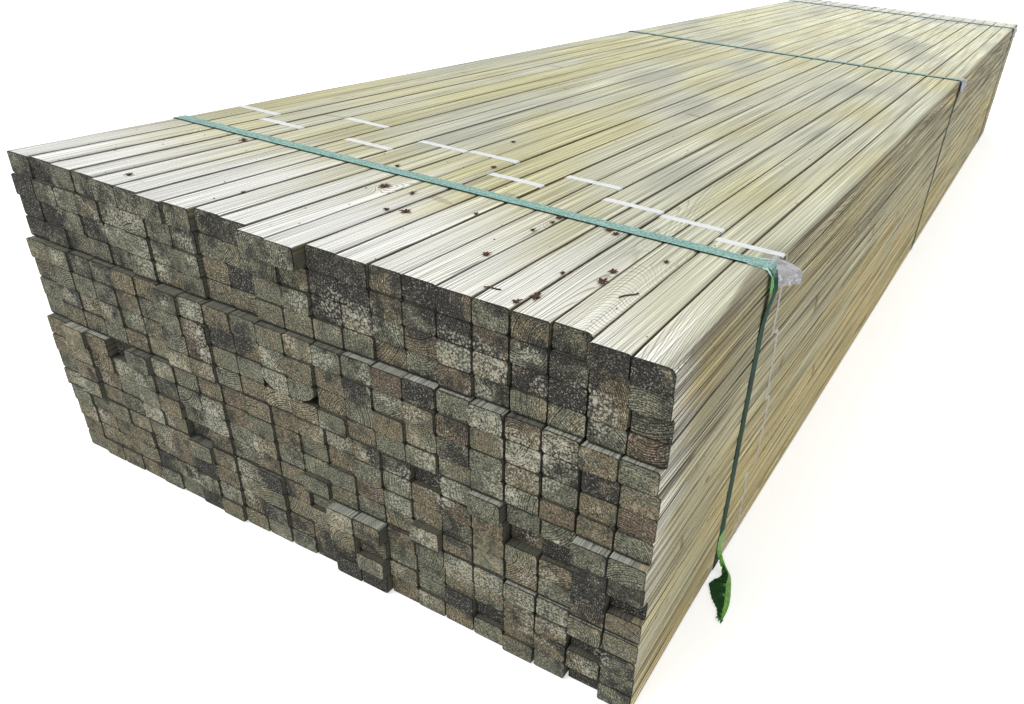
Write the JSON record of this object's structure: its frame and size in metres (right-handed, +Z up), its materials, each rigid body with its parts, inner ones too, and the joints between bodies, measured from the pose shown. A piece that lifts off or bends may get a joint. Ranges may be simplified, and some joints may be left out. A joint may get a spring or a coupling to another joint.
{
  "type": "bundle of treated battens",
  "caption": "Strapped pack of treated sawn battens: small banded bundles stacked in tiers, held by green plastic straps, with staggered weathered ends",
  "frame": {"origin": "On the floor, on the underside of the middle green strap, midway across the pack", "axes": "+Y along the battens away from the front end whose ends show, +X across the pack to the right seen from the front, +Z up"},
  "size_m": [0.8933, 3.3248, 0.4093],
  "materials": {
    "timber": "sawn softwood, green-tinted by its treatment, weathered grey at the ends",
    "band": "white woven-look plastic band",
    "strap": "green embossed plastic strap",
    "corner_sheet": "thin translucent grey plastic, creased"
  },
  "bodies": {
    "root": {"bundle_top_01": "timber", "bundle_top_02": "timber", "bundle_top_03": "timber", "bundle_top_04": "timber", "bundle_top_05": "timber", "bundle_top_06": "timber", "bundle_top_07": "timber", "bundle_top_08": "timber", "bundle_top_09": "timber", "bundle_top_10": "timber", "bundle_top_11": "timber", "bundle_upper_01": "timber", "bundle_upper_02": "timber", "bundle_upper_03": "timber", "bundle_upper_04": "timber", "bundle_upper_05": "timber", "bundle_upper_06": "timber", "bundle_upper_07": "timber", "bundle_upper_08": "timber", "bundle_upper_09": "timber", "bundle_upper_10": "timber", "bundle_upper_11": "timber", "bundle_lower_01": "timber", "bundle_lower_02": "timber", "bundle_lower_03": "timber", "bundle_lower_04": "timber", "bundle_lower_05": "timber", "bundle_lower_06": "timber", "bundle_lower_07": "timber", "bundle_lower_08": "timber", "bundle_lower_09": "timber", "bundle_lower_10": "timber", "bundle_lower_11": "timber", "bundle_bottom_01": "timber", "bundle_bottom_02": "timber", "bundle_bottom_03": "timber", "bundle_bottom_04": "timber", "bundle_bottom_05": "timber", "bundle_bottom_06": "timber", "bundle_bottom_07": "timber", "bundle_bottom_08": "timber", "bundle_bottom_09": "timber", "bundle_bottom_10": "timber", "bundle_bottom_11": "timber", "bands_front": "band", "bands_rear": "band", "strap_front": "strap", "strap_middle": "strap", "strap_rear": "strap", "corner_sheet_front": "corner_sheet", "corner_sheet_middle": "corner_sheet", "corner_sheet_rear": "corner_sheet"}
  },
  "joints": []
}
